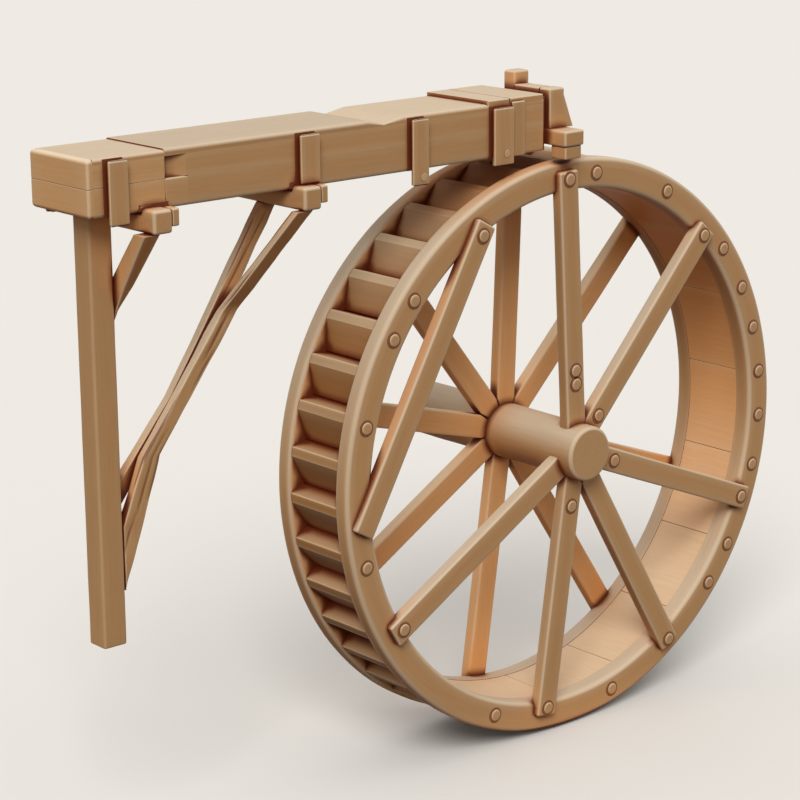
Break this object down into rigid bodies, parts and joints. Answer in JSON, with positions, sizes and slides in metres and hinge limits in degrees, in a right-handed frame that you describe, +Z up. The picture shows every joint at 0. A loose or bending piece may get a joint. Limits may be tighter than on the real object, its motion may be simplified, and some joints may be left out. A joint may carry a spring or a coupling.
{
  "type": "water wheel",
  "caption": "Timber overshot water wheel with wedge-shaped bucket boards and a turning axle, below a boarded launder on one braced post.",
  "frame": {"origin": "centre of the post's foot", "axes": "+Z up; +X along the launder from its closed left end to the wheel; the wheel turns about Y and its front faces -Y"},
  "size_m": [5.82, 1.73, 4.5599],
  "materials": {
    "frame_timber": "planed, pale, soft edges",
    "wheel_timber": "planed, pale, soft edges"
  },
  "bodies": {
    "launder_frame": {"bearer_blocks": "frame_timber", "bearer_feet": "frame_timber", "cap_board_left": "frame_timber", "cap_board_right": "frame_timber", "cleats_front": "frame_timber", "cleats_rear": "frame_timber", "cover_left": "frame_timber", "cover_middle": "frame_timber", "cover_right": "frame_timber", "end_board_lower": "frame_timber", "end_board_upper": "frame_timber", "front_raker": "frame_timber", "knee_brace": "frame_timber", "launder_floor": "frame_timber", "left_bearer": "frame_timber", "left_side_front": "frame_timber", "left_side_rear": "frame_timber", "long_side_front": "frame_timber", "long_side_rear": "frame_timber", "middle_bearer": "frame_timber", "outlet_bearer": "frame_timber", "outlet_end_board": "frame_timber", "outlet_top_bar": "frame_timber", "outlet_upright_front": "frame_timber", "outlet_upright_rear": "frame_timber", "post": "frame_timber", "rear_raker": "frame_timber"},
    "wheel": {"axle": "wheel_timber", "rim_front": "wheel_timber", "rim_rear": "wheel_timber", "sole": "wheel_timber", "bucket_boards_1": "wheel_timber", "bucket_boards_2": "wheel_timber", "bucket_boards_3": "wheel_timber", "arms_front": "wheel_timber", "arms_rear": "wheel_timber", "chord_board": "wheel_timber"}
  },
  "joints": [
    {"name": "wheel_spin", "type": "hinge", "parent": "launder_frame", "child": "wheel", "pos_m": [3.6, 0, 0.62], "axis": [0, 1, 0], "continuous": true}
  ]
}
